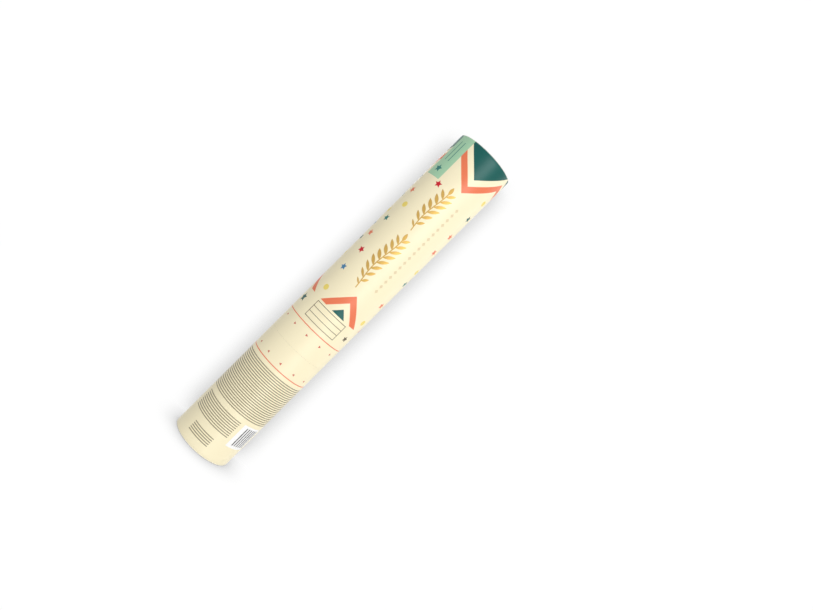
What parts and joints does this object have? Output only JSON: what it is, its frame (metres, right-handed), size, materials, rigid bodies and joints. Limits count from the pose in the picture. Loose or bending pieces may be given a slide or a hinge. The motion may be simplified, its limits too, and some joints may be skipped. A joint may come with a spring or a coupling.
{
  "type": "confetti popper",
  "caption": "Straight printed card tube that throws tissue-star confetti: twisting the grip against the barrel lifts a valve plug and lets an air bottle blow the charge out",
  "frame": {"origin": "middle of the foot, on the plane that the popper stands on", "axes": "+Z along the tube from the foot to the muzzle, -Y through the front of the print, +X to its right"},
  "size_m": [0.0466, 0.0466, 0.28],
  "materials": {
    "barrel_print": "satin",
    "grip_print": "satin",
    "grey_board": "matte",
    "cap_paper": "matte",
    "moulded_plastic": "matte",
    "foot_plastic": "matte",
    "cam_plastic": "matte",
    "bottle_plastic": "gloss",
    "plug_plastic": "matte",
    "seal_rubber": "matte",
    "pin_steel": "satin",
    "tissue_red": "matte",
    "tissue_orange": "matte",
    "tissue_yellow": "matte",
    "tissue_green": "matte",
    "tissue_sky": "matte",
    "tissue_mint": "matte",
    "tissue_peach": "matte",
    "tissue_white": "matte"
  },
  "bodies": {
    "barrel": {"barrel_tube": "grey_board", "barrel_wrap": "barrel_print", "coupling_sleeve": "grey_board", "guide_sleeve": "moulded_plastic", "wad_ring": "grey_board"},
    "grip": {"grip_tube": "grey_board", "grip_wrap": "grip_print", "base_plug": "foot_plastic", "bottle_liner": "grey_board", "air_bottle": "bottle_plastic", "fill_valve": "seal_rubber", "cam_sleeve": "cam_plastic", "retaining_ring": "moulded_plastic"},
    "plug": {"release_plug": "plug_plastic", "o_ring_lower": "seal_rubber", "o_ring_upper": "seal_rubber", "cross_pin": "pin_steel"},
    "charge": {"pusher_cup": "grey_board", "confetti_red": "tissue_red", "confetti_orange": "tissue_orange", "confetti_yellow": "tissue_yellow", "confetti_green": "tissue_green", "confetti_sky": "tissue_sky", "confetti_mint": "tissue_mint", "confetti_peach": "tissue_peach", "confetti_white": "tissue_white", "muzzle_cap": "cap_paper"}
  },
  "joints": [
    {"name": "grip_twist", "type": "hinge", "parent": "barrel", "child": "grip", "pos_m": [0, 0, 0.095], "axis": [0, 0, -1], "range_deg": [0, 120]},
    {"name": "plug_lift", "type": "slide", "parent": "barrel", "child": "plug", "axis": [0, 0, 1], "range_m": [0, 0.008]},
    {"name": "charge_eject", "type": "slide", "parent": "barrel", "child": "charge", "axis": [0, 0, 1], "range_m": [0, 0.165]}
  ],
  "couplings": [
    {"joint": "plug_lift", "follows": "grip_twist", "m_per_rad": 0.0038197}
  ]
}
